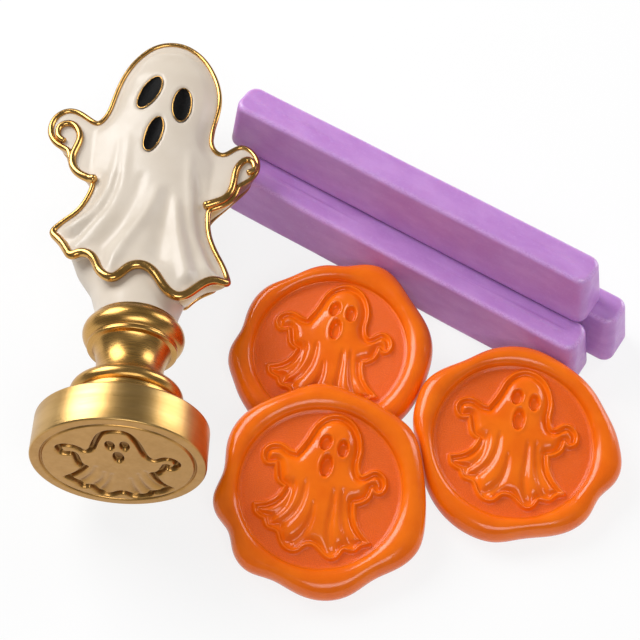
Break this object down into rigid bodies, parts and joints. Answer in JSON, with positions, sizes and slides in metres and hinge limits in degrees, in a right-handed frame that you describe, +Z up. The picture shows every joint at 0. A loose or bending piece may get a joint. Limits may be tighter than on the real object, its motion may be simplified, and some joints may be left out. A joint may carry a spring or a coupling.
{
  "type": "wax seal set",
  "caption": "Wax seal set: a stamp with a sheet-ghost handle on a turned brass collar and an engraved head that unscrews, with drafted wax sticks and finished wax seals.",
  "frame": {"origin": "on the surface that the set lies on, under the middle of its box", "axes": "+X to the right and +Y away as in the picture, +Z up"},
  "size_m": [0.1096, 0.1124, 0.0301],
  "materials": {
    "cast_gilt": "polished gold plate",
    "turned_brass": "satin and polished turned brass",
    "steel_stud": "plain steel",
    "white_enamel": "glossy cream enamel",
    "black_enamel": "black enamel",
    "purple_wax": "pearly purple sealing wax",
    "orange_wax": "glossy orange sealing wax"
  },
  "bodies": {
    "front_stick": {"stick_front": "purple_wax"},
    "rear_stick": {"stick_rear": "purple_wax"},
    "top_stick": {"stick_top": "purple_wax"},
    "back_seal": {"seal_back": "orange_wax"},
    "right_seal": {"seal_right": "orange_wax"},
    "front_seal": {"seal_front": "orange_wax"},
    "handle": {"ghost_casting": "cast_gilt", "front_enamel": "white_enamel", "back_enamel": "white_enamel", "neck_enamel": "white_enamel", "left_eye": "black_enamel", "right_eye": "black_enamel", "mouth": "black_enamel", "left_scroll": "cast_gilt", "right_scroll": "cast_gilt", "collar": "turned_brass", "stud": "steel_stud"},
    "ring": {"spacer_ring": "turned_brass"},
    "head": {"seal_head": "turned_brass"}
  },
  "joints": [
    {"name": "rear_stick_lift", "type": "slide", "parent": "front_stick", "child": "rear_stick", "axis": [0, 0, 1], "range_m": [0, 0.05]},
    {"name": "top_stick_lift", "type": "slide", "parent": "rear_stick", "child": "top_stick", "axis": [0, 0, 1], "range_m": [0, 0.05]},
    {"name": "back_seal_lift", "type": "slide", "parent": "front_stick", "child": "back_seal", "axis": [0, 0, 1], "range_m": [0, 0.05]},
    {"name": "right_seal_lift", "type": "slide", "parent": "back_seal", "child": "right_seal", "axis": [0, 0, 1], "range_m": [0, 0.05]},
    {"name": "front_seal_lift", "type": "slide", "parent": "right_seal", "child": "front_seal", "axis": [0, 0, 1], "range_m": [0, 0.05]},
    {"name": "stamp_lift", "type": "slide", "parent": "front_stick", "child": "handle", "axis": [0, 0, 1], "range_m": [0, 0.08]},
    {"name": "ring_travel", "type": "slide", "parent": "handle", "child": "ring", "axis": [-0.0349, -0.9993, 0.0165], "range_m": [0, 0.008]},
    {"name": "head_unscrew", "type": "hinge", "parent": "ring", "child": "head", "pos_m": [-0.03659, -0.03713, 0.01512], "axis": [-0.0349, -0.9993, 0.0165], "range_deg": [0, 2880]}
  ],
  "couplings": [
    {"joint": "ring_travel", "follows": "head_unscrew", "m_per_rad": 0.00015915}
  ]
}
